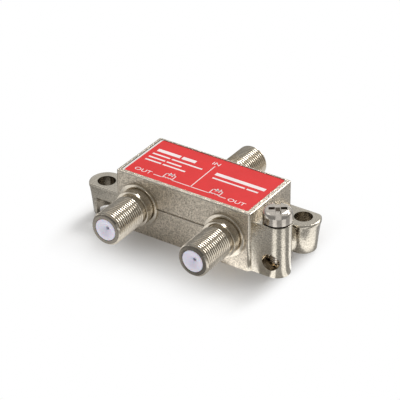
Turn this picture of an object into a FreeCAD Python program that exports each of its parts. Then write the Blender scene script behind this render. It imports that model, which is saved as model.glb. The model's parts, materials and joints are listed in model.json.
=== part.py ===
import FreeCAD, Part
import math
import os

# Two-way coaxial splitter: a die-cast metal box with three threaded ports, two mounting ears
# on one diagonal and a block for an earth wire. Millimetres. X runs along the box towards
# the earth block, Y towards the single input port, Z up; the origin is the middle of the
# face that lies on the wall.

# Box casting
BOX_LENGTH = 43.35
BOX_WIDTH = 21.25
BOX_HEIGHT = 17.9
WALL = 1.8
ROOF = 2.2
CORNER_RADIUS = 0.7
TOP_EDGE_BEVEL = 0.3
PARTING_Z = 9.4
RIDGE_WIDTH = 0.36
RIDGE_PROUD = 0.12
PILLAR_SIDE = 2.6

# Label and the recess that it lies in
LABEL_LEFT_MARGIN = 0.85
LABEL_RIGHT_MARGIN = 1.5
LABEL_FRONT_MARGIN = 1.4
LABEL_REAR_MARGIN = 0.6
LABEL_DEPTH = 0.32
LABEL_THICKNESS = 0.14
LABEL_GAP = 0.12
LABEL_CORNER = 0.6

# Back cover, soldered into a step round the open side
COVER_THICKNESS = 0.5
COVER_SUNK = 0.35
COVER_LEDGE = 0.8
SOLDER_WIDTH = 0.35

# Threaded ports, 3/8-32, measured outwards from the wall that each stands on
PORT_INSET = 7.6
INPUT_OFFSET = -0.75
FLANGE_RADIUS = 6.35
FLANGE_THICKNESS = 1.0
GROOVE_RADIUS = 4.95
GROOVE_WIDTH = 0.75
COLLAR_RADIUS = 5.35
COLLAR_WIDTH = 1.95
NECK_WIDTH = 0.8
THREAD_RADIUS = 4.7625
THREAD_DEPTH = 0.5
THREAD_LENGTH = 10.3
THREAD_END_CHAMFER = 0.55
PORT_BORE_RADIUS = 3.25

# Insulator and contact in each port
INSULATOR_LENGTH = 4.5
INSULATOR_GAP = 0.05
FUNNEL_RADIUS = 2.2
FUNNEL_DEPTH = 1.05
PIN_HOLE_RADIUS = 0.5
LEAF_THICKNESS = 0.25
LEAF_WIDTH = 1.2
LEAF_GAP = 0.7
CONTACT_REACH = 2.0

# Mounting ears
EAR_REACH = 6.1
EAR_FLUSH = 3.8
EAR_LIP = 1.05
EAR_RADIUS = 5.0
EAR_LIP_STEP = 0.15
EAR_TAPER = 0.95
EAR_TOP_BEVEL = 0.4
EAR_FOOT_Z = 0.9
EAR_HOLE_RADIUS = 2.6
POCKET_TOP_Z = 6.6
POCKET_PAST_HOLE = 0.9
POCKET_WALL = 0.9

# Earth block and its screw
BLOCK_REACH = 5.9
BLOCK_INSET = 4.6
BLOCK_DROP = 2.2
BLOCK_RADIUS = 3.95
BLOCK_TAPER = 0.25
WIRE_HOLE_RADIUS = 2.5
WIRE_HOLE_Z = 4.65
SCREW_RADIUS = 2.08
SCREW_GAP = 0.08
SCREW_TIP_RADIUS = 1.2
SCREW_TIP_LENGTH = 0.9
SCREW_TIP_GAP = 0.2
SCREW_STANDS_OFF = 0.5
HEAD_RADIUS = 4.1
HEAD_SIDE = 2.1
HEAD_SHOULDER_IN = 0.45
HEAD_SHOULDER_RISE = 0.95
HEAD_CROWN_IN = 1.35
HEAD_CROWN_RISE = 0.45
SLOT_WIDTH = 1.6
SLOT_DEPTH = 1.3
SLOT_TURN = 34.0
CROSS_WIDTH = 1.25
CROSS_REACH = 2.5
CROSS_DEPTH = 1.9

# Circuit board
BOARD_THICKNESS = 1.0
BOARD_BELOW_PORTS = 2.0
BOARD_GAP = 0.3

# Parts on the board
CORE_LENGTH = 5.6
CORE_DEPTH = 4.2
CORE_HEIGHT = 3.2
CORE_HOLE_RADIUS = 0.8
CORE_HOLE_SPACING = 2.6
CORE_SPACING = 1.2
WINDING_THICKNESS = 0.3
WINDING_WIDTH = 1.0
WINDING_GAP = 0.06
DIODE_RADIUS = 0.8
DIODE_LENGTH = 3.6
DIODE_FROM_PORT = 6.45
DIODE_Y = -3.7
CHOKE_LENGTH = 4.6
CHOKE_WIDTH = 3.2
CHOKE_FLANGE = 0.6
CHOKE_STEM = 1.6
CHOKE_FROM_PORT = 1.0
CHOKE_Y = 3.2
COIL_RECESS = 0.15
COIL_GAP = 0.05
CHIP_LENGTH = 3.2
CHIP_WIDTH = 1.6
CHIP_HEIGHT = 1.2
CHIP_FROM_PORT = 4.0
CHIP_OUT_Y = -2.6
RESISTOR_HEIGHT = 0.6

# Places that follow from the sizes above
HALF_LENGTH = BOX_LENGTH / 2
HALF_WIDTH = BOX_WIDTH / 2
CAVITY_TOP_Z = BOX_HEIGHT - ROOF
COVER_TOP_Z = COVER_SUNK + COVER_THICKNESS
OUTPUT_X = HALF_LENGTH - PORT_INSET
COLLAR_START = FLANGE_THICKNESS + GROOVE_WIDTH
NECK_START = COLLAR_START + COLLAR_WIDTH
NECK_END = NECK_START + NECK_WIDTH
NECK_RADIUS = THREAD_RADIUS - THREAD_DEPTH
THREAD_START = NECK_END + THREAD_DEPTH
PORT_LENGTH = THREAD_START + THREAD_LENGTH + THREAD_END_CHAMFER
CONTACT_END_Y = HALF_WIDTH - WALL - CONTACT_REACH
EAR_X = HALF_LENGTH + EAR_REACH
EAR_Y = HALF_WIDTH - EAR_FLUSH
EAR_TOP_Z = PARTING_Z + EAR_LIP
EAR_RADIUS_BELOW = EAR_RADIUS - EAR_LIP_STEP
EAR_RADIUS_FOOT = EAR_RADIUS_BELOW - EAR_TAPER
BLOCK_X = HALF_LENGTH + BLOCK_REACH
BLOCK_Y = BLOCK_INSET - HALF_WIDTH
BLOCK_TOP_Z = BOX_HEIGHT - BLOCK_DROP
BLOCK_RADIUS_FOOT = BLOCK_RADIUS - BLOCK_TAPER
SCREW_BASE_Z = BLOCK_TOP_Z + SCREW_STANDS_OFF
SHOULDER_Z = SCREW_BASE_Z + HEAD_SIDE + HEAD_SHOULDER_RISE
HEAD_TOP_Z = SHOULDER_Z + HEAD_CROWN_RISE
BOARD_TOP_Z = PARTING_Z - BOARD_BELOW_PORTS
UP = FreeCAD.Vector(0, 0, 1)


def vec(x, y, z):
    return FreeCAD.Vector(x, y, z)


def block(x0, x1, y0, y1, z0, z1):
    """Box between two corners."""
    return Part.makeBox(x1 - x0, y1 - y0, z1 - z0, vec(x0, y0, z0))


def centred_block(length, width, z0, z1):
    return block(-length / 2, length / 2, -width / 2, width / 2, z0, z1)


def rounded_plate(length, width, z0, z1, radius):
    """Plate on the centre line with rounded upright corners."""
    plate = centred_block(length, width, z0, z1)
    upright = [e for e in plate.Edges if abs(e.tangentAt(0).z) > 0.9]
    return plate.makeFillet(radius, upright)


def turned(profile):
    """Solid of revolution about Z from (radius, height) corners."""
    points = [vec(r, 0, z) for r, z in profile]
    wire = Part.makePolygon(points + points[:1])
    return Part.Face(wire).revolve(vec(0, 0, 0), UP, 360)


def place(shape, x, y, z, direction):
    """Copy of a shape whose Z axis is turned to the given direction at a point."""
    copy = shape.copy()
    turn = FreeCAD.Rotation(UP, direction)
    copy.Placement = FreeCAD.Placement(vec(x, y, z), turn)
    return copy


def half_turned(shape):
    """Copy turned half a turn about the upright centre line."""
    copy = shape.copy()
    copy.rotate(vec(0, 0, 0), UP, 180)
    return copy


def port_places():
    """Name, X, side of the box (-1 front, 1 back) of each port."""
    return [("out_1", -OUTPUT_X, -1), ("out_2", OUTPUT_X, -1), ("in", INPUT_OFFSET, 1)]


def at_port(shape, x, side):
    """Moves a shape made about Z, with height 0 at the wall's outer face, to a port."""
    return place(shape, x, side * HALF_WIDTH, PARTING_Z, vec(0, side, 0))


def port_shell():
    """Flange, groove, collar, neck and threaded barrel of one port, without its bore."""
    thread_end = THREAD_START + THREAD_LENGTH
    return turned([
        (0, -WALL / 2),
        (FLANGE_RADIUS, -WALL / 2),
        (FLANGE_RADIUS, FLANGE_THICKNESS),
        (GROOVE_RADIUS, FLANGE_THICKNESS),
        (GROOVE_RADIUS, COLLAR_START),
        (COLLAR_RADIUS, COLLAR_START),
        (COLLAR_RADIUS, NECK_START),
        (NECK_RADIUS, NECK_START),
        (NECK_RADIUS, NECK_END),
        (THREAD_RADIUS, THREAD_START),
        (THREAD_RADIUS, thread_end),
        (THREAD_RADIUS - THREAD_END_CHAMFER, PORT_LENGTH),
        (0, PORT_LENGTH),
    ])


def port_bore():
    """Hollow of a port, straight through the wall into the box."""
    return Part.makeCylinder(PORT_BORE_RADIUS, WALL + PORT_LENGTH + 2, vec(0, 0, -WALL - 1))


def lug(radius_foot, radius_top, z0, z1, reach):
    """Upright round boss about Z that runs out straight along +X, wider or narrower at its foot."""
    height = z1 - z0
    if radius_foot == radius_top:
        boss = Part.makeCylinder(radius_top, height, vec(0, 0, z0))
    else:
        boss = Part.makeCone(radius_foot, radius_top, height, vec(0, 0, z0))
    section = Part.makePolygon([
        vec(0, -radius_foot, z0),
        vec(0, radius_foot, z0),
        vec(0, radius_top, z1),
        vec(0, -radius_top, z1),
        vec(0, -radius_foot, z0),
    ])
    return boss.fuse(Part.Face(section).extrude(vec(reach, 0, 0))).removeSplitter()


def flush_lug(boss):
    """Boss moved to the front left ear and cut flush with the box's front wall."""
    boss.translate(vec(-EAR_X, -EAR_Y, 0))
    beyond = block(-2 * EAR_X, 0, -2 * HALF_WIDTH, -HALF_WIDTH, -1, EAR_TOP_Z + 1)
    return boss.cut(beyond)


def ear():
    """Front left ear: upright lip above the parting line, drafted body with a cored pocket."""
    reach = EAR_X - HALF_LENGTH + WALL / 2
    lip = flush_lug(lug(EAR_RADIUS, EAR_RADIUS, PARTING_Z, EAR_TOP_Z, reach))
    body = flush_lug(lug(EAR_RADIUS_FOOT, EAR_RADIUS_BELOW, EAR_FOOT_Z, PARTING_Z, reach))
    rim = [e for e in lip.Edges if e.BoundBox.ZMin > EAR_TOP_Z - 0.01 and e.BoundBox.XMin < -HALF_LENGTH]
    lip = lip.makeChamfer(EAR_TOP_BEVEL, rim)
    pocket_back = EAR_RADIUS_FOOT - POCKET_WALL - EAR_Y
    pocket = block(-EAR_X - POCKET_PAST_HOLE, -HALF_LENGTH, -HALF_WIDTH - 1, pocket_back, -1, POCKET_TOP_Z)
    hole = Part.makeCylinder(EAR_HOLE_RADIUS, EAR_TOP_Z + 2, vec(-EAR_X, -EAR_Y, -1))
    return lip.fuse(body).cut(pocket).cut(hole)


def earth_block():
    """Drafted block beside the box that takes the earth wire and its clamping screw."""
    reach = BLOCK_X - HALF_LENGTH + WALL / 2
    body = half_turned(lug(BLOCK_RADIUS_FOOT, BLOCK_RADIUS, 0, BLOCK_TOP_Z, reach))
    body.translate(vec(BLOCK_X, BLOCK_Y, 0))
    wire_hole = Part.makeCylinder(WIRE_HOLE_RADIUS, 4 * BLOCK_RADIUS,
                                  vec(BLOCK_X, BLOCK_Y - 2 * BLOCK_RADIUS, WIRE_HOLE_Z), vec(0, 1, 0))
    screw_hole = Part.makeCylinder(SCREW_RADIUS + SCREW_GAP, BLOCK_TOP_Z,
                                   vec(BLOCK_X, BLOCK_Y, WIRE_HOLE_Z))
    return body.cut(wire_hole).cut(screw_hole)


def cover_step():
    """Length and width of the step that the back cover lies in."""
    grow = 2 * (COVER_LEDGE - WALL)
    return BOX_LENGTH + grow, BOX_WIDTH + grow


def cavity():
    """Inside of the box, open at the wall side, less the pillars that carry the board."""
    length = BOX_LENGTH - 2 * WALL
    width = BOX_WIDTH - 2 * WALL
    room = centred_block(length, width, -1, CAVITY_TOP_Z)
    for sx in (-1, 1):
        for sy in (-1, 1):
            x = sx * (length - PILLAR_SIDE) / 2
            y = sy * (width - PILLAR_SIDE) / 2
            pillar = centred_block(PILLAR_SIDE, PILLAR_SIDE, BOARD_TOP_Z, CAVITY_TOP_Z)
            pillar.translate(vec(x, y, 0))
            room = room.cut(pillar)
    step_length, step_width = cover_step()
    return room.fuse(centred_block(step_length, step_width, -1, COVER_TOP_Z))


def label_plate(gap, z0, z1):
    """Plate over the label's recess, smaller than it by a gap all round."""
    length = BOX_LENGTH - LABEL_LEFT_MARGIN - LABEL_RIGHT_MARGIN - 2 * gap
    width = BOX_WIDTH - LABEL_FRONT_MARGIN - LABEL_REAR_MARGIN - 2 * gap
    plate = rounded_plate(length, width, z0, z1, LABEL_CORNER)
    plate.translate(vec((LABEL_LEFT_MARGIN - LABEL_RIGHT_MARGIN) / 2, (LABEL_FRONT_MARGIN - LABEL_REAR_MARGIN) / 2, 0))
    return plate


def housing():
    """The casting: box, ports, ears and earth block in one piece."""
    box = rounded_plate(BOX_LENGTH, BOX_WIDTH, 0, BOX_HEIGHT, CORNER_RADIUS)
    rim = [e for e in box.Edges if e.BoundBox.ZMin > BOX_HEIGHT - 0.01]
    box = box.makeChamfer(TOP_EDGE_BEVEL, rim)
    ridge = centred_block(BOX_LENGTH - 2 * CORNER_RADIUS, BOX_WIDTH + 2 * RIDGE_PROUD,
                          PARTING_Z - RIDGE_WIDTH / 2, PARTING_Z + RIDGE_WIDTH / 2)
    front_ear = ear()
    body = box.fuse([ridge, front_ear, half_turned(front_ear), earth_block()])
    body = body.fuse([at_port(port_shell(), x, side) for name, x, side in port_places()])
    recess = label_plate(0, BOX_HEIGHT - LABEL_DEPTH, BOX_HEIGHT + 1)
    bores = [at_port(port_bore(), x, side) for name, x, side in port_places()]
    return body.cut([cavity(), recess] + bores).removeSplitter()


def label():
    floor = BOX_HEIGHT - LABEL_DEPTH
    return label_plate(LABEL_GAP, floor, floor + LABEL_THICKNESS)


def back_cover():
    length, width = cover_step()
    return centred_block(length - 2 * SOLDER_WIDTH, width - 2 * SOLDER_WIDTH, COVER_SUNK, COVER_TOP_Z)


def cover_solder():
    """Bead of solder between the cover's edge and the casting."""
    length, width = cover_step()
    return centred_block(length, width, COVER_SUNK, COVER_TOP_Z).cut(back_cover())


def insulator():
    """White bush in a port's mouth, with a funnel that leads the cable's wire to the contact."""
    radius = PORT_BORE_RADIUS - INSULATOR_GAP
    back = PORT_LENGTH - INSULATOR_LENGTH
    return turned([
        (PIN_HOLE_RADIUS, back),
        (radius, back),
        (radius, PORT_LENGTH),
        (FUNNEL_RADIUS, PORT_LENGTH),
        (PIN_HOLE_RADIUS, PORT_LENGTH - FUNNEL_DEPTH),
    ])


def contact(side):
    """Spring contact of a port: two leaves behind the insulator and a tail down to the board."""
    front = PORT_LENGTH - INSULATOR_LENGTH
    back = -WALL - CONTACT_REACH
    half = LEAF_WIDTH / 2
    inner = LEAF_GAP / 2
    outer = inner + LEAF_THICKNESS
    spring = block(-half, half, inner, outer, back, front)
    spring = spring.fuse(block(-half, half, -outer, -inner, back, front))
    spring = spring.fuse(block(-half, half, -outer, outer, back, back + LEAF_THICKNESS))
    spring = at_port(spring, 0, side)
    end_y = side * CONTACT_END_Y
    y0, y1 = sorted((end_y, end_y + side * LEAF_THICKNESS))
    tail = block(-half, half, y0, y1, BOARD_TOP_Z, PARTING_Z)
    return spring.fuse(tail).removeSplitter()


def ground_screw():
    """Earth screw with a rounded head, a slot across it and a cross recess."""
    tip_z = WIRE_HOLE_Z - math.sqrt(WIRE_HOLE_RADIUS ** 2 - SCREW_TIP_RADIUS ** 2) + SCREW_TIP_GAP
    screw = turned([
        (0, tip_z),
        (SCREW_TIP_RADIUS, tip_z),
        (SCREW_RADIUS, tip_z + SCREW_TIP_LENGTH),
        (SCREW_RADIUS, SCREW_BASE_Z),
        (HEAD_RADIUS, SCREW_BASE_Z),
        (HEAD_RADIUS, SCREW_BASE_Z + HEAD_SIDE),
        (HEAD_RADIUS - HEAD_SHOULDER_IN, SHOULDER_Z),
        (HEAD_RADIUS - HEAD_CROWN_IN, HEAD_TOP_Z),
        (0, HEAD_TOP_Z),
    ])
    slot = block(-SLOT_WIDTH / 2, SLOT_WIDTH / 2, -HEAD_RADIUS - 1, HEAD_RADIUS + 1,
                 HEAD_TOP_Z - SLOT_DEPTH, HEAD_TOP_Z + 1)
    recess = centred_block(CROSS_WIDTH, 2 * CROSS_REACH, HEAD_TOP_Z - CROSS_DEPTH, HEAD_TOP_Z + 1)
    across = centred_block(2 * CROSS_REACH, CROSS_WIDTH, HEAD_TOP_Z - CROSS_DEPTH, HEAD_TOP_Z + 1)
    screw = screw.cut([slot, recess, across])
    screw.rotate(vec(0, 0, 0), UP, SLOT_TURN)
    screw.translate(vec(BLOCK_X, BLOCK_Y, 0))
    return screw


def circuit_board():
    length = BOX_LENGTH - 2 * (WALL + BOARD_GAP)
    width = BOX_WIDTH - 2 * (WALL + BOARD_GAP)
    return centred_block(length, width, BOARD_TOP_Z - BOARD_THICKNESS, BOARD_TOP_Z)


def ferrite_core(x, y):
    """Two-hole ferrite block glued to the board, its holes along Y."""
    body = centred_block(CORE_LENGTH, CORE_DEPTH, BOARD_TOP_Z, BOARD_TOP_Z + CORE_HEIGHT)
    for sx in (-1, 1):
        centre = vec(sx * CORE_HOLE_SPACING / 2, -CORE_DEPTH, BOARD_TOP_Z + CORE_HEIGHT / 2)
        body = body.cut(Part.makeCylinder(CORE_HOLE_RADIUS, 2 * CORE_DEPTH, centre, vec(0, 1, 0)))
    body.translate(vec(x, y, 0))
    return body


def core_winding(x, y):
    """Band of wire wound through both holes, round the middle of the core."""
    z = BOARD_TOP_Z + CORE_HEIGHT / 2
    length = CORE_HOLE_SPACING + WINDING_THICKNESS
    width = CORE_DEPTH + 2 * (WINDING_GAP + WINDING_THICKNESS)
    z0 = z - WINDING_WIDTH / 2
    z1 = z + WINDING_WIDTH / 2
    outer = centred_block(length, width, z0, z1)
    inner = centred_block(length - 2 * WINDING_THICKNESS, width - 2 * WINDING_THICKNESS, z0, z1)
    band = outer.cut(inner)
    band.translate(vec(x, y, 0))
    return band


def diode(x, y):
    """Glass diode lying along X on the board."""
    start = vec(x - DIODE_LENGTH / 2, y, BOARD_TOP_Z + DIODE_RADIUS)
    return Part.makeCylinder(DIODE_RADIUS, DIODE_LENGTH, start, vec(1, 0, 0))


def chip(x, y, height):
    """Ceramic chip part, flat on the board."""
    body = centred_block(CHIP_LENGTH, CHIP_WIDTH, BOARD_TOP_Z, BOARD_TOP_Z + height)
    body.translate(vec(x, y, 0))
    return body


def choke_core(x, y):
    """Ferrite bobbin on its side: a stem along Y between two square flanges."""
    z0 = BOARD_TOP_Z
    z1 = z0 + CHOKE_WIDTH
    mid = (z0 + z1) / 2
    body = centred_block(CHOKE_STEM, CHOKE_LENGTH, mid - CHOKE_STEM / 2, mid + CHOKE_STEM / 2)
    for sy in (-1, 1):
        flange = centred_block(CHOKE_WIDTH, CHOKE_FLANGE, z0, z1)
        flange.translate(vec(0, sy * (CHOKE_LENGTH - CHOKE_FLANGE) / 2, 0))
        body = body.fuse(flange)
    body = body.removeSplitter()
    body.translate(vec(x, y, 0))
    return body


def choke_winding(x, y):
    """Coil round the bobbin's stem, between the flanges."""
    mid = BOARD_TOP_Z + CHOKE_WIDTH / 2
    inner = CHOKE_STEM + 2 * COIL_GAP
    outer = CHOKE_WIDTH - 2 * COIL_RECESS
    width = CHOKE_LENGTH - 2 * (CHOKE_FLANGE + COIL_GAP)
    coil = centred_block(outer, width, mid - outer / 2, mid + outer / 2)
    coil = coil.cut(centred_block(inner, width, mid - inner / 2, mid + inner / 2))
    coil.translate(vec(x, y, 0))
    return coil


def board_parts():
    """Everything that stands on the circuit board, by node name."""
    chip_row_y = CONTACT_END_Y - CHIP_WIDTH / 2
    core_x = (CORE_LENGTH + CORE_SPACING) / 2
    parts = {
        "isolation_resistor": chip(INPUT_OFFSET, -chip_row_y, RESISTOR_HEIGHT),
        "capacitor_in": chip(INPUT_OFFSET + CHIP_FROM_PORT, chip_row_y, CHIP_HEIGHT),
    }
    for name, x in (("matching", INPUT_OFFSET - core_x), ("splitter", INPUT_OFFSET + core_x)):
        parts[name + "_core"] = ferrite_core(x, 0)
        parts[name + "_winding"] = core_winding(x, 0)
    for number, sx in ((1, -1), (2, 1)):
        choke_x = sx * (OUTPUT_X - CHOKE_FROM_PORT)
        parts["steering_diode_%d" % number] = diode(sx * (OUTPUT_X - DIODE_FROM_PORT), DIODE_Y)
        parts["choke_core_%d" % number] = choke_core(choke_x, CHOKE_Y)
        parts["choke_winding_%d" % number] = choke_winding(choke_x, CHOKE_Y)
        parts["capacitor_out_%d" % number] = chip(sx * OUTPUT_X, CHIP_OUT_Y, CHIP_HEIGHT)
    return parts


def port_parts():
    """Insulator and contact of each port, by node name."""
    parts = {}
    for name, x, side in port_places():
        parts["insulator_" + name] = at_port(insulator(), x, side)
        spring = contact(side)
        spring.translate(vec(x, 0, 0))
        parts["contact_" + name] = spring
    return parts


def all_parts():
    parts = {
        "housing": housing(),
        "label": label(),
        "back_cover": back_cover(),
        "cover_solder": cover_solder(),
        "ground_screw": ground_screw(),
        "circuit_board": circuit_board(),
    }
    parts.update(port_parts())
    parts.update(board_parts())
    return parts


os.makedirs("parts", exist_ok=True)
for node, shape in all_parts().items():
    shape.exportStep("parts/%s.step" % node)
    print(node, shape.isValid(), len(shape.Solids), round(shape.Volume, 2))
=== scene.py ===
import json
import math
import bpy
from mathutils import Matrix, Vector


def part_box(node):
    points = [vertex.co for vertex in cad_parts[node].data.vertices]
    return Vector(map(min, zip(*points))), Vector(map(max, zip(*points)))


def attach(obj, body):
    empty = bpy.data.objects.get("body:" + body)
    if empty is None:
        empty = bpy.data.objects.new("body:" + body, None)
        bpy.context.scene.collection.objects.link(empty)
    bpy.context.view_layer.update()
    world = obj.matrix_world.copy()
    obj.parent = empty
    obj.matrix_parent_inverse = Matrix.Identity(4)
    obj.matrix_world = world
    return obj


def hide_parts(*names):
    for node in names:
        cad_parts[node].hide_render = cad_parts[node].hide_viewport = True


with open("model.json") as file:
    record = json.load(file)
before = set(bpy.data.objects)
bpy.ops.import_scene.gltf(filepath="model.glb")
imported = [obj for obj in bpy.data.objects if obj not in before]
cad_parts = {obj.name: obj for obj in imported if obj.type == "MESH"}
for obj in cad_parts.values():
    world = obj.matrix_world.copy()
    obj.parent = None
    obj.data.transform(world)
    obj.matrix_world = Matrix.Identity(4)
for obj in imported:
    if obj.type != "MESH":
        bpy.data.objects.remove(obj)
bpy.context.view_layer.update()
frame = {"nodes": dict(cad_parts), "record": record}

from types import SimpleNamespace

import bmesh
import bpy
from mathutils import Matrix, Vector

bl_info = {
    "name": "Coaxial Splitter",
    "version": (1, 0, 0),
    "blender": (4, 5, 0),
    "location": "View3D > Sidebar > Splitter",
    "description": "Two-way coaxial splitter: die-cast box, threaded ports, label and earth screw",
    "category": "Object",
}

MM = 0.001

# Shapes are worked out in millimetres and made into metres when their object is made.
# Places nearer than these count as one: vertices of one outline, of one cut edge, of a turned
# shape, and of the turns of a thread.
TOUCHING = 0.0001
DEGENERATE = 0.0005
NEAR = 0.002
MERGE = 0.01
# How far a cutting tool reaches past the face that it opens.
PAST = 1.0
ROUND_STEPS = 96
SMALL_ROUND_STEPS = 64
HALF_STEPS = 28
CORNER_STEPS = 6
SHARP_ANGLE = math.radians(32)
# A face whose normal's largest part is smaller than this belongs to a rounded edge.
FLAT_NORMAL = 0.97
WHITE = (1, 1, 1, 1)


def node_box(name):
    """Lowest and highest corner of a solid of the frame, in millimetres."""
    low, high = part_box(name)
    return low / MM, high / MM


def mount(name):
    """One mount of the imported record."""
    return next(m for m in frame["record"]["mounts"] if m["name"] == name)


def port_places():
    """Name, X and side of the box, -1 for the front, of each port, in millimetres."""
    places = []
    for name, side in (("out_1", -1), ("out_2", -1), ("in", 1)):
        low, high = node_box("insulator_" + name)
        places.append((name, (low.x + high.x) / 2, side))
    return places


COVER_RIM = 1.0
EAR_RADIUS = 5.0
SOLDER_LOW, SOLDER_HIGH = node_box("cover_solder")
HOUSING_HIGH = node_box("housing")[1]
LABEL_LOW, LABEL_HIGH = node_box("label")
SCREW_LOW, SCREW_HIGH = node_box("ground_screw")
PLUG_LOW, PLUG_HIGH = node_box("insulator_in")
BOX_LENGTH = SOLDER_HIGH.x - SOLDER_LOW.x + 2 * COVER_RIM
BOX_WIDTH = SOLDER_HIGH.y - SOLDER_LOW.y + 2 * COVER_RIM
BOX_HEIGHT = HOUSING_HIGH.z
PORT_Z = (PLUG_LOW.z + PLUG_HIGH.z) / 2
PORT_LENGTH = PLUG_HIGH.y - BOX_WIDTH / 2
PLUG_RADIUS = (PLUG_HIGH.z - PLUG_LOW.z) / 2
THREAD_RADIUS = mount("port_in")["dims"]["r_mm"]
THREAD_LENGTH = mount("port_in")["dims"]["length_mm"]
THREAD_MIDDLE = mount("port_in")["pos_m"][1] / MM - BOX_WIDTH / 2
EAR_X = HOUSING_HIGH.x - EAR_RADIUS
EAR_Y = math.sqrt((mount("ear_holes")["dims"]["pcd_mm"] / 2) ** 2 - EAR_X ** 2)
EAR_HOLE = mount("ear_holes")["dims"]["hole_r_mm"]
BLOCK_X = (SCREW_LOW.x + SCREW_HIGH.x) / 2
BLOCK_Y = (SCREW_LOW.y + SCREW_HIGH.y) / 2
WIRE_Z = mount("earth_wire_hole")["pos_m"][2] / MM
WIRE_RADIUS = mount("earth_wire_hole")["dims"]["r_mm"]
BOARD_TOP = node_box("circuit_board")[1].z


def length(name, description, millimetres):
    """A size that a user can change, given in millimetres and kept in metres."""
    return bpy.props.FloatProperty(name=name, description=description, default=millimetres * MM,
                                   unit="LENGTH", subtype="DISTANCE", precision=5)


def colour(name, description, value):
    """A colour that a user can change."""
    return bpy.props.FloatVectorProperty(name=name, description=description, default=value,
                                         size=3, min=0.0, max=1.0, subtype="COLOR")


def in_mm(group):
    """The sizes of a property group in millimetres, by name."""
    return SimpleNamespace(**{key: getattr(group, key) / MM for key in type(group).__annotations__})


class SPLITTER_PG_box(bpy.types.PropertyGroup):
    """Sizes of the die-cast box."""
    wall: length("Wall", "Thickness of the box's walls", 1.8)
    roof: length("Roof", "Thickness of the box's closed face", 2.2)
    upper_corner: length("Upper Corner", "Radius of the upright corners above the parting line", 0.7)
    lower_corner: length("Lower Corner", "Radius of the upright corners below the parting line", 0.95)
    rim: length("Rim", "Rounding round the top", 0.3)
    ridge_width: length("Ridge Width", "Height of the parting ridge on the long walls", 0.36)
    ridge_proud: length("Ridge Proud", "How far the parting ridge stands off the wall", 0.16)
    ridge_end: length("Ridge End", "Where the ridge stops short of the corner", 1.1)
    seam_height: length("Seam Height", "Height of the groove above the parting ridge", 0.3)
    seam_depth: length("Seam Depth", "Depth of the groove above the parting ridge", 0.22)
    pillar: length("Pillar", "Side of the pillars that carry the board", 2.6)
    recess_gap: length("Recess Gap", "Gap round the label in its recess", 0.12)
    recess_floor: length("Recess Depth", "Depth of the label's recess", 0.32)
    recess_corner: length("Recess Corner", "Radius of the recess's corners", 0.6)


class SPLITTER_PG_port(bpy.types.PropertyGroup):
    """Sizes of a threaded port, measured outwards from its wall."""
    flange_radius: length("Flange Radius", "Radius of the flange on the wall", 6.35)
    flange: length("Flange", "Thickness of the flange", 1.0)
    groove_radius: length("Groove Radius", "Radius of the groove behind the collar", 4.95)
    groove_end: length("Groove End", "Where the groove ends", 1.75)
    collar_radius: length("Collar Radius", "Radius of the collar", 5.35)
    collar_end: length("Collar End", "Where the collar ends", 3.7)
    neck_radius: length("Neck Radius", "Radius of the neck before the thread", 4.2625)
    neck_end: length("Neck End", "Where the neck ends and the thread begins", 4.5)
    bore_radius: length("Bore Radius", "Radius of the bore", 3.25)
    pitch: length("Thread Pitch", "Distance between two turns of the thread", 25.4 / 32)
    thread_depth: length("Thread Depth", "Height of the thread from root to crest", 0.487)
    edge: length("Edge Rounding", "Rounding of the turned edges", 0.12)


class SPLITTER_PG_ears(bpy.types.PropertyGroup):
    """Sizes of the two mounting ears and the earth block."""
    lip: length("Lip Height", "Height of the ear's lip above the parting line", 1.05)
    lip_step: length("Lip Step", "How far the lip stands out over the ear's body", 0.15)
    taper: length("Ear Taper", "How much the ear's body narrows towards the wall side", 0.95)
    foot: length("Ear Foot", "How far the ear's body ends above the wall side", 0.9)
    foot_rim: length("Ear Foot Rim", "Rounding of the ear's foot", 0.2)
    corner: length("Ear Corner", "Rounding where the flush cut meets the ear's round side", 1.8)
    rim: length("Ear Rim", "Rounding of the lip's top edge", 0.42)
    pocket_top: length("Pocket Top", "Height of the cored pocket under the ear", 6.6)
    pocket_past_hole: length("Pocket Reach", "How far the pocket runs past the hole", 0.9)
    pocket_wall: length("Pocket Wall", "Wall left behind the pocket", 0.9)
    block_radius: length("Block Radius", "Radius of the earth block at its top", 3.95)
    block_taper: length("Block Taper", "How much the block narrows at its foot", 0.25)
    block_drop: length("Block Drop", "How far the block's top lies below the box's top", 2.2)
    block_rim: length("Block Rim", "Rounding of the block's top edge", 0.25)
    screw_hole: length("Screw Hole", "Radius of the hole that the earth screw turns in", 2.16)


class SPLITTER_PG_screw(bpy.types.PropertyGroup):
    """Sizes of the earth screw."""
    radius: length("Thread Radius", "Radius over the screw's thread", 2.08)
    pitch: length("Thread Pitch", "Distance between two turns of the thread", 0.7)
    thread_depth: length("Thread Depth", "Height of the thread from root to crest", 0.36)
    tip_radius: length("Tip Radius", "Radius of the screw's tip", 1.2)
    tip_length: length("Tip Length", "Length of the pointed end", 0.9)
    head_drop: length("Head Height", "Height of the head from its seat to its crown", 3.5)
    head_side: length("Head Side", "Height of the head's straight side", 2.1)
    shoulder_in: length("Shoulder In", "How far the head's shoulder is drawn in", 0.45)
    shoulder_rise: length("Shoulder Rise", "Height of the head's shoulder", 0.95)
    crown_in: length("Crown In", "How far the crown is drawn in", 1.35)
    slot_width: length("Slot Width", "Width of the slot across the head", 1.6)
    slot_depth: length("Slot Depth", "Depth of the slot", 1.3)
    cross_width: length("Cross Width", "Width of the cross recess", 1.25)
    cross_reach: length("Cross Reach", "Reach of the cross recess from the middle", 2.5)
    cross_depth: length("Cross Depth", "Depth of the cross recess", 1.9)
    slot_turn: bpy.props.FloatProperty(name="Slot Turn", description="How far the slot is turned from Y",
                                       default=math.radians(34), subtype="ANGLE")


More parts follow.
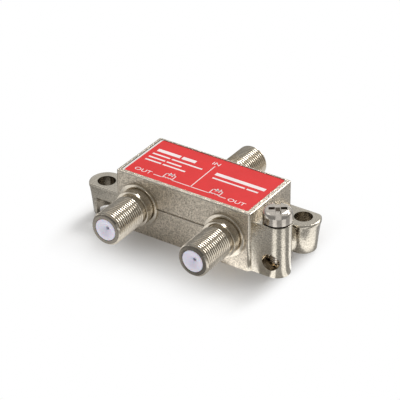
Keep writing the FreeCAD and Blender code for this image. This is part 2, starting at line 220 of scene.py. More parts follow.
class SPLITTER_PG_label(bpy.types.PropertyGroup):
    """Sizes and places of what is printed on the label."""
    left_margin: length("Left Margin", "Bare film left of the red field", 0.6)
    rear_margin: length("Rear Margin", "Bare film behind the red field", 0.05)
    edge_margin: length("Edge Margin", "Bare film at the other two sides", 0.04)
    ink: length("Ink", "Thickness of a layer of print", 0.02)
    stroke: length("Stroke", "Width of the printed lines", 0.26)
    line_y: length("Line Place", "Y of the line that joins the outputs", -6.8)
    branch_y: length("Branch Place", "Y of the upper branch of each symbol", -4.45)
    letter_height: length("Letter Height", "Height of the port names' letters", 1.45)
    bold_bar: length("Bold Bar", "Height of the tall printed bars", 1.35)
    fine_bar: length("Fine Bar", "Height of the low printed bars", 0.6)


class SPLITTER_PG_finish(bpy.types.PropertyGroup):
    """Colours of the finishes."""
    casting: colour("Casting", "Nickel plate on the grainy cast walls", (0.65, 0.58, 0.48))
    satin: colour("Satin Casting", "Nickel plate on the smooth cast faces", (0.56, 0.515, 0.435))
    turned: colour("Turned Nickel", "Nickel plate on the turned ports", (0.66, 0.60, 0.505))
    # port_end is a darker copy of the turned plate, put on the ports' ends.
    port_end: colour("Port End", "Worn plate on the ends of the ports", (0.24, 0.215, 0.18))
    # cored is a darker plate in the holes and pockets: painted shade where shade falls inside them.
    cored: colour("Cored Holes", "Thin plate in the cored holes and pockets", (0.36, 0.32, 0.26))
    screw: colour("Screw", "Nickel plate on the earth screw", (0.60, 0.55, 0.49))
    red: colour("Red Ink", "The label's red field", (0.72, 0.026, 0.026))
    white: colour("White Ink", "Printed lines and letters", (0.88, 0.80, 0.79))
    plastic: colour("White Plastic", "Insulating bushes in the ports", (0.76, 0.73, 0.83))


SIZES = {
    "splitter_box": SPLITTER_PG_box,
    "splitter_port": SPLITTER_PG_port,
    "splitter_ears": SPLITTER_PG_ears,
    "splitter_screw": SPLITTER_PG_screw,
    "splitter_label": SPLITTER_PG_label,
    "splitter_finish": SPLITTER_PG_finish,
}


def slab(low, high):
    """Box between two corners."""
    bm = bmesh.new()
    bmesh.ops.create_cube(bm, size=1.0)
    low, high = Vector(low), Vector(high)
    bmesh.ops.scale(bm, vec=high - low, verts=bm.verts)
    bmesh.ops.translate(bm, vec=(low + high) / 2, verts=bm.verts)
    return bm


def soften(bm, edges, width, segments):
    """Rounds edges."""
    bmesh.ops.bevel(bm, geom=edges, offset=width, offset_type="OFFSET", segments=segments,
                    profile=0.5, affect="EDGES", clamp_overlap=True, material=-1, loop_slide=True)


def upright_edges(bm):
    """Edges that rise."""
    return [e for e in bm.edges if abs(e.verts[0].co.z - e.verts[1].co.z) > MERGE]


def edges_at_height(bm, z):
    """Edges that lie at a height."""
    return [e for e in bm.edges if all(abs(v.co.z - z) < NEAR for v in e.verts)]


def rounded_slab(low, high, corner, rim=0.0):
    """Box with rounded upright corners, and a rounded top rim where one is asked for."""
    bm = slab(low, high)
    soften(bm, upright_edges(bm), corner, CORNER_STEPS)
    if rim:
        soften(bm, edges_at_height(bm, high[2]), rim, 3)
    return bm


def closed(bm, name):
    """Turns the faces outwards and stops the script where a shape isn't closed."""
    bmesh.ops.recalc_face_normals(bm, faces=bm.faces)
    loose = [e for e in bm.edges if len(e.link_faces) != 2]
    if loose:
        raise RuntimeError(f"{name} is open at {len(loose)} edges")
    return bm


def lathe(profile, name, steps=ROUND_STEPS):
    """Turns (radius, height) corners about Z into a closed shape."""
    bm = bmesh.new()
    verts = [bm.verts.new((r, 0, z)) for r, z in profile]
    edges = [bm.edges.new(pair) for pair in zip(verts, verts[1:])]
    bmesh.ops.spin(bm, geom=verts + edges, cent=(0, 0, 0), axis=(0, 0, 1), dvec=(0, 0, 0),
                   angle=2 * math.pi, steps=steps, use_merge=True)
    bmesh.ops.remove_doubles(bm, verts=bm.verts, dist=NEAR)
    return closed(bm, name)


def round_rims(bm, corners, width, segments):
    """Rounds the circular edges of a turned shape at the given (radius, height) corners."""
    for radius, z in corners:
        rim = [e for e in edges_at_height(bm, z)
               if all(abs(v.co.to_2d().length - radius) < NEAR for v in e.verts)]
        soften(bm, rim, width, segments)


def thread_rod(crest, depth, pitch, low, high, limit, name, steps=72):
    """Threaded rod about Z between two heights. limit gives the largest radius at a height."""
    flank_angle = math.radians(30)
    root = crest - depth
    flank = depth * math.tan(flank_angle)
    flat = pitch / 8
    groove = pitch - flat - 2 * flank
    profile = [(root, 0), (root, groove), (crest, groove + flank),
               (crest, groove + flank + flat), (root, pitch)]
    bm = bmesh.new()
    lead_in = 2
    verts = [bm.verts.new((r, 0, z + low - lead_in * pitch)) for r, z in profile]
    edges = [bm.edges.new(pair) for pair in zip(verts, verts[1:])]
    turns = math.ceil((high - low) / pitch) + lead_in + 1
    bmesh.ops.spin(bm, geom=verts + edges, cent=(0, 0, 0), axis=(0, 0, 1),
                   dvec=(0, 0, pitch / steps), angle=2 * math.pi * turns, steps=steps * turns)
    bmesh.ops.remove_doubles(bm, verts=bm.verts, dist=MERGE)
    for z, side in ((low, -1), (high, 1)):
        bmesh.ops.bisect_plane(bm, geom=bm.verts[:] + bm.edges[:] + bm.faces[:], dist=TOUCHING,
                               plane_co=(0, 0, z), plane_no=(0, 0, side), clear_outer=True)
    for vert in bm.verts:
        radius = vert.co.to_2d().length
        largest = limit(vert.co.z)
        if radius > largest:
            vert.co.x *= largest / radius
            vert.co.y *= largest / radius
    bmesh.ops.remove_doubles(bm, verts=bm.verts, dist=NEAR)
    bmesh.ops.holes_fill(bm, edges=[e for e in bm.edges if e.is_boundary], sides=0)
    return closed(bm, name)


def lug(foot_radius, top_radius, low, high, reach, name):
    """Upright round boss about Z that runs out straight along +X, wider or narrower at its foot."""
    bm = bmesh.new()
    start = bm.verts.new((0, -foot_radius, low))
    bmesh.ops.spin(bm, geom=[start], cent=(0, 0, 0), axis=(0, 0, 1), dvec=(0, 0, 0),
                   angle=-math.pi, steps=HALF_STEPS)
    ends = [v for v in bm.verts if len(v.link_edges) == 1]
    run = bmesh.ops.extrude_vert_indiv(bm, verts=ends)["verts"]
    bmesh.ops.translate(bm, verts=run, vec=(reach, 0, 0))
    bmesh.ops.contextual_create(bm, geom=run)
    bmesh.ops.contextual_create(bm, geom=bm.edges[:])
    raised = bmesh.ops.extrude_face_region(bm, geom=bm.faces[:])["geom"]
    top = [v for v in raised if isinstance(v, bmesh.types.BMVert)]
    bmesh.ops.translate(bm, verts=top, vec=(0, 0, high - low))
    ratio = top_radius / foot_radius
    bmesh.ops.scale(bm, verts=top, vec=(ratio, ratio, 1))
    return closed(bm, name)


def flush_outline(bm, radius, flush, corner, z, reach):
    """Loop of a round lug about Z that runs out along +X and is cut flat at Y = -flush.

    The corner between the flat and the round is rounded."""
    middle = Vector((-math.sqrt((radius - corner) ** 2 - (flush - corner) ** 2), corner - flush, z))
    turn = math.atan2(-middle.x, -middle.y)
    first = bm.verts.new((middle.x, -flush, z))
    rounding = bmesh.ops.spin(bm, geom=[first], cent=middle, axis=(0, 0, 1), dvec=(0, 0, 0),
                              angle=-turn, steps=CORNER_STEPS)["geom_last"]
    last = [v for v in rounding if isinstance(v, bmesh.types.BMVert)]
    side = bmesh.ops.spin(bm, geom=last, cent=(0, 0, z), axis=(0, 0, 1), dvec=(0, 0, 0),
                          angle=turn - math.pi, steps=HALF_STEPS)["geom_last"]
    ends = [first] + [v for v in side if isinstance(v, bmesh.types.BMVert)]
    run = bmesh.ops.extrude_vert_indiv(bm, verts=ends)["verts"]
    for vert in run:
        vert.co.x = reach
    bm.edges.new(run)
    return edges_at_height(bm, z)


def flush_lug(foot_radius, top_radius, low, high, flush, corner, reach, name):
    """Upright round boss with a flat front, wider or narrower at its foot."""
    bm = bmesh.new()
    foot = flush_outline(bm, foot_radius, flush, corner, low, reach)
    top = flush_outline(bm, top_radius, flush, corner, high, reach)
    bmesh.ops.bridge_loops(bm, edges=foot + top)
    for z in (low, high):
        bmesh.ops.contextual_create(bm, geom=edges_at_height(bm, z))
    return closed(bm, name)


def upright_rod(x, y, radius, low, high):
    """Round rod along Z, to cut a hole with."""
    bm = lathe([(0, low), (radius, low), (radius, high), (0, high)], "rod", SMALL_ROUND_STEPS)
    bmesh.ops.translate(bm, verts=bm.verts, vec=(x, y, 0))
    return bm


def half_turned(bm):
    """Copy turned half a turn about the upright centre line."""
    copy = bm.copy()
    bmesh.ops.rotate(copy, verts=copy.verts, cent=(0, 0, 0), matrix=Matrix.Rotation(math.pi, 3, "Z"))
    return copy


def at_port(bm, x, side):
    """Moves a shape made about Z, with height 0 at the wall's outer face, to a port."""
    place = Matrix.Translation((x, side * BOX_WIDTH / 2, PORT_Z))
    turn = Matrix.Rotation(math.radians(-90 * side), 4, "X")
    bmesh.ops.transform(bm, matrix=place @ turn, verts=bm.verts)
    return bm


def tool_object(name, bm, material):
    """Loose object that a piece is put together from."""
    mesh = bpy.data.meshes.new(name)
    bm.to_mesh(mesh)
    bm.free()
    mesh.materials.append(material)
    return bpy.data.objects.new(name, mesh)


def combined(base, joined, cut):
    """Base with other parts joined to it and then others cut out, as one shape and its materials.

    Each part is a name, a shape and a material."""
    scene = bpy.context.scene
    base = tool_object(*base)
    scene.collection.objects.link(base)
    tools = [base]
    trays = []
    for operation, parts in (("UNION", joined), ("DIFFERENCE", cut)):
        tray = bpy.data.collections.new(operation)
        scene.collection.children.link(tray)
        for part in parts:
            tools.append(tool_object(*part))
            tray.objects.link(tools[-1])
        step = base.modifiers.new(operation, "BOOLEAN")
        step.operation = operation
        step.operand_type = "COLLECTION"
        step.collection = tray
        step.solver = "EXACT"
        step.material_mode = "TRANSFER"
        trays.append(tray)
    depsgraph = bpy.context.evaluated_depsgraph_get()
    mesh = bpy.data.meshes.new_from_object(base.evaluated_get(depsgraph), depsgraph=depsgraph)
    for tool in tools:
        bpy.data.objects.remove(tool)
    for tray in trays:
        bpy.data.collections.remove(tray)
    materials = list(mesh.materials)
    bm = bmesh.new()
    bm.from_mesh(mesh)
    bpy.data.meshes.remove(mesh)
    return bm, materials


def piece(name, bm, body, replaces, materials):
    """Object of one finished shape, riding on its body, with materials that its faces number."""
    mesh = bpy.data.meshes.new(name)
    bmesh.ops.scale(bm, vec=(MM, MM, MM), verts=bm.verts)
    bm.to_mesh(mesh)
    bm.free()
    for material in materials:
        mesh.materials.append(material)
    mesh.shade_smooth()
    mesh.set_sharp_from_angle(angle=SHARP_ANGLE)
    made = bpy.data.objects.new(name, mesh)
    bpy.context.scene.collection.objects.link(made)
    weighted = made.modifiers.new("Weighted Normals", "WEIGHTED_NORMAL")
    weighted.keep_sharp = True
    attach(made, body)
    if replaces:
        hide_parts(*replaces)
    return made


def joined_bmesh(parts):
    """One bmesh of several, which are used up."""
    whole = bmesh.new()
    for part in parts:
        mesh = bpy.data.meshes.new("part")
        part.to_mesh(mesh)
        part.free()
        whole.from_mesh(mesh)
        bpy.data.meshes.remove(mesh)
    return whole


def new_material(name):
    """Material with a Principled shader, its tree and that shader."""
    material = bpy.data.materials.new(name)
    material.use_nodes = True
    tree = material.node_tree
    return material, tree, tree.nodes["Principled BSDF"]


def add_node(tree, kind, inputs=(), **settings):
    """Adds a shader node. inputs pairs a socket's name or number with a value or a socket."""
    made = tree.nodes.new(kind)
    for key, value in settings.items():
        setattr(made, key, value)
    for key, value in inputs:
        if isinstance(value, bpy.types.NodeSocket):
            tree.links.new(value, made.inputs[key])
        else:
            made.inputs[key].default_value = value
    return made


def place_on_piece(tree, scale=(1, 1, 1), location=(0, 0, 0)):
    """Place on the piece in millimetres, stretched and moved as asked."""
    here = add_node(tree, "ShaderNodeTexCoord")
    per_mm = tuple(factor / MM for factor in scale)
    mapping = add_node(tree, "ShaderNodeMapping", [
        ("Vector", here.outputs["Object"]), ("Scale", per_mm), ("Location", location)])
    return mapping.outputs["Vector"]


def noise(tree, where, grain, detail=3.0, roughness=0.5):
    """Noise whose features are about grain millimetres across."""
    made = add_node(tree, "ShaderNodeTexNoise", [
        ("Vector", where), ("Scale", 1 / grain), ("Detail", detail), ("Roughness", roughness)])
    return made.outputs["Fac"]


def spread(tree, value, low, high, out_low=0.0, out_high=1.0, way="LINEAR"):
    """Maps a value's range onto another, without going past it."""
    made = add_node(tree, "ShaderNodeMapRange", [
        ("Value", value), ("From Min", low), ("From Max", high),
        ("To Min", out_low), ("To Max", out_high)], interpolation_type=way)
    return made.outputs["Result"]


def maths(tree, operation, *values):
    """Result of one calculation on values or sockets."""
    return add_node(tree, "ShaderNodeMath", enumerate(values), operation=operation).outputs["Value"]


def vector_maths(tree, operation, *values, result="Vector"):
    """Result of one calculation on vectors. It is named Value where it is a number."""
    made = add_node(tree, "ShaderNodeVectorMath", enumerate(values), operation=operation)
    return made.outputs[result]


def white_light(tree, kind, strength):
    """White light of a strength, from an Emission or Background node."""
    return add_node(tree, kind, [("Color", WHITE), ("Strength", strength)]).outputs[0]


def shader_mix(tree, factor, first, second):
    """Mix of two shaders by a factor."""
    return add_node(tree, "ShaderNodeMixShader", [(0, factor), (1, first), (2, second)]).outputs["Shader"]


def shade(colour_value, factor):
    """A colour made lighter or darker, as a socket value."""
    return (*[min(1.0, channel * factor) for channel in colour_value], 1.0)


def colour_mix(tree, factor, first, second):
    """Mix of two colours by a factor, through the colour sockets."""
    made = add_node(tree, "ShaderNodeMix", [(0, factor), (6, first), (7, second)], data_type="RGBA")
    return made.outputs[2]


def clouded(tree, cloud, base, dark, light, low=0.3):
    """Colour that a cloudy noise makes darker and lighter."""
    return colour_mix(tree, spread(tree, cloud, low, 0.7), shade(base, dark), shade(base, light))


def connect(tree, shader, tone, roughness, normal, metallic):
    """Connects a finish's colour, roughness and relief to its shader."""
    for key, socket in (("Base Color", tone), ("Roughness", roughness), ("Normal", normal)):
        tree.links.new(socket, shader.inputs[key])
    shader.inputs["Metallic"].default_value = metallic


def bump(tree, height, distance, normal=None):
    """Bump of so many millimetres, over an earlier one where one is given."""
    inputs = [("Height", height), ("Distance", distance * MM)]
    if normal is not None:
        inputs.append(("Normal", normal))
    return add_node(tree, "ShaderNodeBump", inputs).outputs["Normal"]


def cast_nickel(name, base, grain, pit_depth, smooth, dull, dark):
    """Nickel plate on a casting: pitted grain, cloudy patches and a soft shine.

    dark is how dark the pits are beside the plate round them."""
    material, tree, shader = new_material(name)
    where = place_on_piece(tree)
    cloud = noise(tree, where, grain=2.6, detail=4.0, roughness=0.6)
    speck = noise(tree, where, grain, roughness=0.7)
    tone = clouded(tree, cloud, base, 0.88, 1.12)
    tone = colour_mix(tree, spread(tree, speck, 0.36, 0.58), shade(base, dark), tone)
    pits = add_node(tree, "ShaderNodeTexVoronoi", [
        ("Vector", where), ("Scale", 1 / (grain * 1.3)), ("Randomness", 1.0)], feature="SMOOTH_F1")
    relief = bump(tree, pits.outputs["Distance"], pit_depth)
    relief = bump(tree, speck, pit_depth * 1.6, relief)
    connect(tree, shader, tone, spread(tree, speck, 0.35, 0.65, dull, smooth), relief, 1.0)
    return material


def turned_nickel(name, base, axis_scale, smooth, dull):
    """Nickel plate on a turned surface: fine rings and a brighter shine.

    axis_scale squeezes the rings' noise along each axis."""
    material, tree, shader = new_material(name)
    where = place_on_piece(tree)
    rings = noise(tree, place_on_piece(tree, axis_scale), grain=0.5, detail=2.0)
    cloud = noise(tree, where, grain=1.6, detail=4.0, roughness=0.6)
    speck = noise(tree, where, grain=0.3, roughness=0.6)
    tone = clouded(tree, cloud, base, 0.86, 1.1, low=0.35)
    tone = colour_mix(tree, spread(tree, speck, 0.34, 0.46), shade(base, 0.72), tone)
    roughness = spread(tree, cloud, 0.3, 0.7, smooth, dull)
    connect(tree, shader, tone, roughness, bump(tree, rings, 0.004), 1.0)
    return material


def printed_film(name, base, roughness, relief=0.004):
    """Satin ink on film, with a faint unevenness."""
    material, tree, shader = new_material(name)
    where = place_on_piece(tree)
    cloud = noise(tree, where, grain=5.0)
    fine = noise(tree, where, grain=0.22, detail=2.0)
    tone = clouded(tree, cloud, base, 0.95, 1.05)
    uneven = spread(tree, fine, 0.3, 0.7, roughness * 0.9, roughness * 1.1)
    connect(tree, shader, tone, uneven, bump(tree, fine, relief), 0.0)
    shader.inputs["Specular IOR Level"].default_value = 0.25
    return material


def plain_finish(name, base, roughness, metallic=0.0, grain=0.3, relief=0.01, change=0.12,
                 transmission=0.0, scatter=0.0):
    """Finish of a small part: an even colour with fine grain, cloudy change and relief."""
    material, tree, shader = new_material(name)
    where = place_on_piece(tree)
    cloud = noise(tree, where, grain * 6, roughness=0.6)
    fine = noise(tree, where, grain, roughness=0.6)
    tone = clouded(tree, cloud, base, 1 - change, 1 + change)
    uneven = spread(tree, fine, 0.3, 0.7, roughness * 0.85, roughness * 1.15)
    connect(tree, shader, tone, uneven, bump(tree, fine, relief), metallic)
    shader.inputs["Transmission Weight"].default_value = transmission
    shader.inputs["Subsurface Weight"].default_value = scatter
    if scatter:
        shader.inputs["Subsurface Scale"].default_value = 0.8 * MM
    return material


def colour_of(name):
    """A colour from the panel."""
    return tuple(getattr(bpy.context.scene.splitter_finish, name))


def dress(node, material):
    """Gives a solid of the frame its finish."""
    for slot in frame["nodes"][node].material_slots:
        slot.material = material


class SPLITTER_OT_casting(bpy.types.Operator):
    """Makes the casting: box, ports with their threads, ears and earth block in one piece"""
    bl_idname = "splitter.casting"
    bl_label = "Casting"

    def execute(self, context):
        box = in_mm(context.scene.splitter_box)
        port = in_mm(context.scene.splitter_port)
        ears = in_mm(context.scene.splitter_ears)
        walls = cast_nickel("cast_nickel_grainy", colour_of("casting"), grain=0.42, pit_depth=0.085,
                            smooth=0.26, dull=0.4, dark=0.5)
        satin = cast_nickel("cast_nickel_satin", colour_of("satin"), grain=0.4, pit_depth=0.022,
                            smooth=0.1, dull=0.17, dark=0.68)
        turned = turned_nickel("turned_nickel", colour_of("turned"), axis_scale=(0.12, 1.0, 0.12),
                               smooth=0.11, dull=0.2)
        # Darker copy of the turned plate for the ports' ends.
        darker_end = turned_nickel("worn_nickel", colour_of("port_end"), axis_scale=(1.0, 0.12, 1.0),
                             smooth=0.22, dull=0.34)
        # Painted shade: the holes and pockets get a darker copy of the cast plate.
        cored = cast_nickel("cored_nickel", colour_of("cored"), grain=0.4, pit_depth=0.02,
                            smooth=0.2, dull=0.32, dark=0.7)
        hx, hy = BOX_LENGTH / 2, BOX_WIDTH / 2
        upper = rounded_slab((-hx, -hy, PORT_Z), (hx, hy, BOX_HEIGHT), box.upper_corner, box.rim)
        lower = rounded_slab((-hx, -hy, 0), (hx, hy, PORT_Z), box.lower_corner)
        joined = [("lower_half", lower, walls), ("ridge", self.ridge_shape(box), satin)]
        joined += [("ear", shape, satin) for shape in self.ear_shapes(box, ears)]
        joined.append(("earth_block", self.block_shape(box, ears), satin))
        cut = [("recess", self.recess_shape(box), satin)]
        cut += [("seam", shape, walls) for shape in self.seam_shapes(box)]
        cut += [("cavity", shape, walls) for shape in self.cavity_shapes(box)]
        # Painted shade inside the ear holes, their pockets and the screw hole.
        cut += [("hole", shape, cored) for shape in self.hole_shapes(ears)]
        cut.append(("wire_hole", self.wire_hole_shape(ears), turned))
        for name, x, side in port_places():
            joined.append(("port_" + name, at_port(self.port_shape(box, port), x, side), turned))
            joined.append(("thread_" + name, at_port(self.port_thread(port), x, side), turned))
            cut.append(("bore_" + name, at_port(self.bore_shape(box, port), x, side), turned))
        whole, finishes = combined(("upper_half", upper, walls), joined, cut)
        finishes.append(darker_end)
        bmesh.ops.dissolve_degenerate(whole, edges=whole.edges, dist=DEGENERATE)
        port_end = BOX_WIDTH / 2 + PORT_LENGTH - 2 * port.edge
        for face in whole.faces:
            largest = max(abs(part) for part in face.normal)
            # Faces past the ports' ends take the darker end plate.
            if abs(face.calc_center_median().y) > port_end:
                face.material_index = finishes.index(darker_end)
            elif finishes[face.material_index] == walls and largest < FLAT_NORMAL:
                face.material_index = finishes.index(satin)
        piece("casting", whole, "splitter", ["housing"], finishes)
        return {"FINISHED"}

    def ridge_shape(self, box):
        """Parting ridge, as wide as the box and proud of both long walls, its long edges rounded."""
        x, y, half = BOX_LENGTH / 2 - box.ridge_end, BOX_WIDTH / 2 + box.ridge_proud, box.ridge_width / 2
        ridge = slab((-x, -y, PORT_Z - half), (x, y, PORT_Z + half))
        along = [e for e in ridge.edges if abs(e.verts[0].co.x - e.verts[1].co.x) > NEAR]
        soften(ridge, along, box.ridge_proud * 0.8, 3)
        return ridge

    def ear_shapes(self, box, ears):
        """Lip and body of both ears, each made at the front left and turned for the back right."""
        reach = EAR_X - BOX_LENGTH / 2 + box.wall / 2
        top = PORT_Z + ears.lip
        below = EAR_RADIUS - ears.lip_step
        shared = (BOX_WIDTH / 2 - EAR_Y, ears.corner, reach)
        lip = flush_lug(EAR_RADIUS, EAR_RADIUS, PORT_Z, top, *shared, "ear lip")
        body = flush_lug(below - ears.taper, below, ears.foot, PORT_Z, *shared, "ear body")
        soften(lip, edges_at_height(lip, top), ears.rim, 4)
        soften(lip, edges_at_height(lip, PORT_Z), ears.lip_step * 0.6, 2)
        soften(body, edges_at_height(body, ears.foot), ears.foot_rim, 3)
        for shape in (lip, body):
            bmesh.ops.translate(shape, verts=shape.verts, vec=(-EAR_X, -EAR_Y, 0))
        return [half_turned(lip), lip, half_turned(body), body]

    def block_shape(self, box, ears):
        """Earth block beside the box, its rounded end away from the box."""
        top = BOX_HEIGHT - ears.block_drop
        reach = BLOCK_X - BOX_LENGTH / 2 + box.wall / 2
        shape = lug(ears.block_radius - ears.block_taper, ears.block_radius, 0, top, reach, "block")
        soften(shape, edges_at_height(shape, top), ears.block_rim, 3)
        shape = half_turned(shape)
        bmesh.ops.translate(shape, verts=shape.verts, vec=(BLOCK_X, BLOCK_Y, 0))
        return shape

    def recess_shape(self, box):
        """Shallow recess that the label lies in."""
        gap = box.recess_gap
        return rounded_slab((LABEL_LOW.x - gap, LABEL_LOW.y - gap, BOX_HEIGHT - box.recess_floor),
                            (LABEL_HIGH.x + gap, LABEL_HIGH.y + gap, BOX_HEIGHT + PAST),
                            box.recess_corner)

    def seam_shapes(self, box):
        """Groove above the parting ridge on both long walls, cut a little into the ridge."""
        into_ridge, outside = 0.02, 0.1
        low = PORT_Z + box.ridge_width / 2 - into_ridge
        run, wall = BOX_LENGTH / 2 - box.ridge_end, BOX_WIDTH / 2
        front = slab((-run, -wall - outside, low), (run, box.seam_depth - wall, low + box.seam_height))
        return [half_turned(front), front]

    def cavity_shapes(self, box):
        """Inside of the box, open at the wall side, leaving the pillars that carry the board."""
        hx, hy = BOX_LENGTH / 2 - box.wall, BOX_WIDTH / 2 - box.wall
        top = BOX_HEIGHT - box.roof
        step = SOLDER_HIGH
        return [
            slab((-hx, -hy, -PAST), (hx, hy, BOARD_TOP)),
            slab((-hx, -hy + box.pillar, 0), (hx, hy - box.pillar, top)),
            slab((-hx + box.pillar, -hy, 0), (hx - box.pillar, hy, top)),
            slab((-step.x, -step.y, -1.5 * PAST), (step.x, step.y, step.z)),
        ]

    def hole_shapes(self, ears):
        """Ear holes and pockets, and the earth block's screw hole."""
        foot = EAR_RADIUS - ears.lip_step - ears.taper
        hole = upright_rod(-EAR_X, -EAR_Y, EAR_HOLE, -PAST, PORT_Z + ears.lip + PAST)
        pocket = slab((-EAR_X - ears.pocket_past_hole, -BOX_WIDTH / 2 - PAST, -PAST),
                      (-BOX_LENGTH / 2, foot - ears.pocket_wall - EAR_Y, ears.pocket_top))
        screw = upright_rod(BLOCK_X, BLOCK_Y, ears.screw_hole, WIRE_Z, BOX_HEIGHT)
        return [half_turned(hole), half_turned(pocket), hole, pocket, screw]

    def wire_hole_shape(self, ears):
        """Rod along Y for the earth wire's hole through the block."""
        reach = 2 * ears.block_radius
        rod = lathe([(0, -reach), (WIRE_RADIUS, -reach), (WIRE_RADIUS, reach), (0, reach)], "wire hole")
        place = Matrix.Translation((BLOCK_X, BLOCK_Y, WIRE_Z))
        bmesh.ops.transform(rod, verts=rod.verts, matrix=place @ Matrix.Rotation(math.pi / 2, 4, "X"))
        return rod

    def port_shape(self, box, port):
        """Flange, groove, collar and neck of a port, with a plain core under its thread."""
        below_root = 0.05
        core = THREAD_RADIUS - port.thread_depth - below_root
        shape = lathe([(0, -box.wall / 2), (port.flange_radius, -box.wall / 2),
                       (port.flange_radius, port.flange), (port.groove_radius, port.flange),
                       (port.groove_radius, port.groove_end), (port.collar_radius, port.groove_end),
                       (port.collar_radius, port.collar_end), (port.neck_radius, port.collar_end),
                       (port.neck_radius, port.neck_end), (core, port.neck_end),
                       (core, PORT_LENGTH), (0, PORT_LENGTH)], "port")
        round_rims(shape, [(port.flange_radius, port.flange), (port.collar_radius, port.groove_end),
                           (port.collar_radius, port.collar_end), (core, PORT_LENGTH)], port.edge, 3)
        return shape

    def port_thread(self, port):
        """Threaded rod over a port's core, chamfered at both ends."""
        start = port.neck_end
        end = THREAD_MIDDLE + THREAD_LENGTH / 2
        gap = 0.05

        def limit(z):
            leading = port.neck_radius + max(0.0, z - start)
            trailing = THREAD_RADIUS + min(0.0, end - z)
            return min(THREAD_RADIUS, leading, trailing)
        return thread_rod(THREAD_RADIUS, port.thread_depth, port.pitch, start + gap,
                          PORT_LENGTH - gap, limit, "port thread")

    def bore_shape(self, box, port):
        """Rod for a port's bore, wider at the mouth for the turned edge there."""
        inner, mouth = -box.wall - PAST, PORT_LENGTH + port.edge
        return lathe([(0, inner), (port.bore_radius, inner), (port.bore_radius, PORT_LENGTH - port.edge),
                      (port.bore_radius + 2 * port.edge, mouth), (0, mouth)], "bore")


class SPLITTER_OT_insulators(bpy.types.Operator):
    """Makes the white bush in each port's mouth"""
    bl_idname = "splitter.insulators"
    bl_label = "Insulators"

    def execute(self, context):
        plastic = plain_finish("white_plastic", colour_of("plastic"), 0.32, grain=0.5, relief=0.004,
                               change=0.03, scatter=0.25)
        hole, rim, funnel_radius, funnel_depth, funnel_rim = 0.5, 0.1, 2.2, 1.05, 0.35
        for name, x, side in port_places():
            low, high = node_box("insulator_" + name)
            back = PORT_LENGTH - (high.y - low.y)
            bush = lathe([(hole, back), (PLUG_RADIUS, back), (PLUG_RADIUS, PORT_LENGTH),
                          (funnel_radius, PORT_LENGTH), (hole, PORT_LENGTH - funnel_depth),
                          (hole, back)], "insulator", SMALL_ROUND_STEPS)
            round_rims(bush, [(PLUG_RADIUS, PORT_LENGTH)], rim, 2)
            round_rims(bush, [(funnel_radius, PORT_LENGTH)], funnel_rim, 4)
            piece("bush_" + name, at_port(bush, x, side), "splitter",
                  ["insulator_" + name], [plastic])
        return {"FINISHED"}


class SPLITTER_OT_earth_screw(bpy.types.Operator):
    """Makes the earth screw with its thread, rounded head, slot and cross recess"""
    bl_idname = "splitter.earth_screw"
    bl_label = "Earth Screw"

    def execute(self, context):
        screw = in_mm(context.scene.splitter_screw)
        plated = turned_nickel("plated_screw", colour_of("screw"), axis_scale=(1.0, 1.0, 1.0),
                               smooth=0.1, dull=0.2)
        edge, shoulder_round, rim_round, below_root, clear = 0.15, 0.35, 0.5, 0.03, 0.2
        seat = SCREW_HIGH.z - screw.head_drop
        radius = (SCREW_HIGH.x - SCREW_LOW.x) / 2
        side_top = seat + screw.head_side
        shoulder = side_top + screw.shoulder_rise
        core = screw.radius - screw.thread_depth - below_root
        neck = SCREW_LOW.z + screw.tip_length
        side = (radius, side_top)
        bend = (radius - screw.shoulder_in, shoulder)
        crown = (radius - screw.crown_in, SCREW_HIGH.z)
        head = lathe([(0, neck), (core, neck), (core, seat), (radius - edge, seat), (radius, seat + edge),
                      side, bend, crown, (0, SCREW_HIGH.z)], "screw head")
        for corner, width in ((side, rim_round), (bend, shoulder_round), (crown, rim_round)):
            round_rims(head, [corner], width, 4)

        def limit(z):
            slope = (screw.radius - screw.tip_radius) / screw.tip_length
            return min(screw.radius, screw.tip_radius + slope * (z - SCREW_LOW.z))
        thread = thread_rod(screw.radius, screw.thread_depth, screw.pitch, SCREW_LOW.z, seat - clear,
                            limit, "screw thread", 48)
        reach = 2 * radius
        top = SCREW_HIGH.z + PAST
        slot = slab((-screw.slot_width / 2, -reach, SCREW_HIGH.z - screw.slot_depth),
                    (screw.slot_width / 2, reach, top))
        half = screw.cross_width / 2
        deep = SCREW_HIGH.z - screw.cross_depth
        along = slab((-half, -screw.cross_reach, deep), (half, screw.cross_reach, top))
        across = slab((-screw.cross_reach, -half, deep), (screw.cross_reach, half, top))
        whole, finishes = combined(("head", head, plated), [("thread", thread, plated)],
                                   [("recess", shape, plated) for shape in (slot, along, across)])
        turn = Matrix.Rotation(context.scene.splitter_screw.slot_turn, 4, "Z")
        place = Matrix.Translation((BLOCK_X, BLOCK_Y, 0))
        bmesh.ops.transform(whole, matrix=place @ turn, verts=whole.verts)
        piece("earth_screw", whole, "screw", ["ground_screw"], finishes)
        return {"FINISHED"}


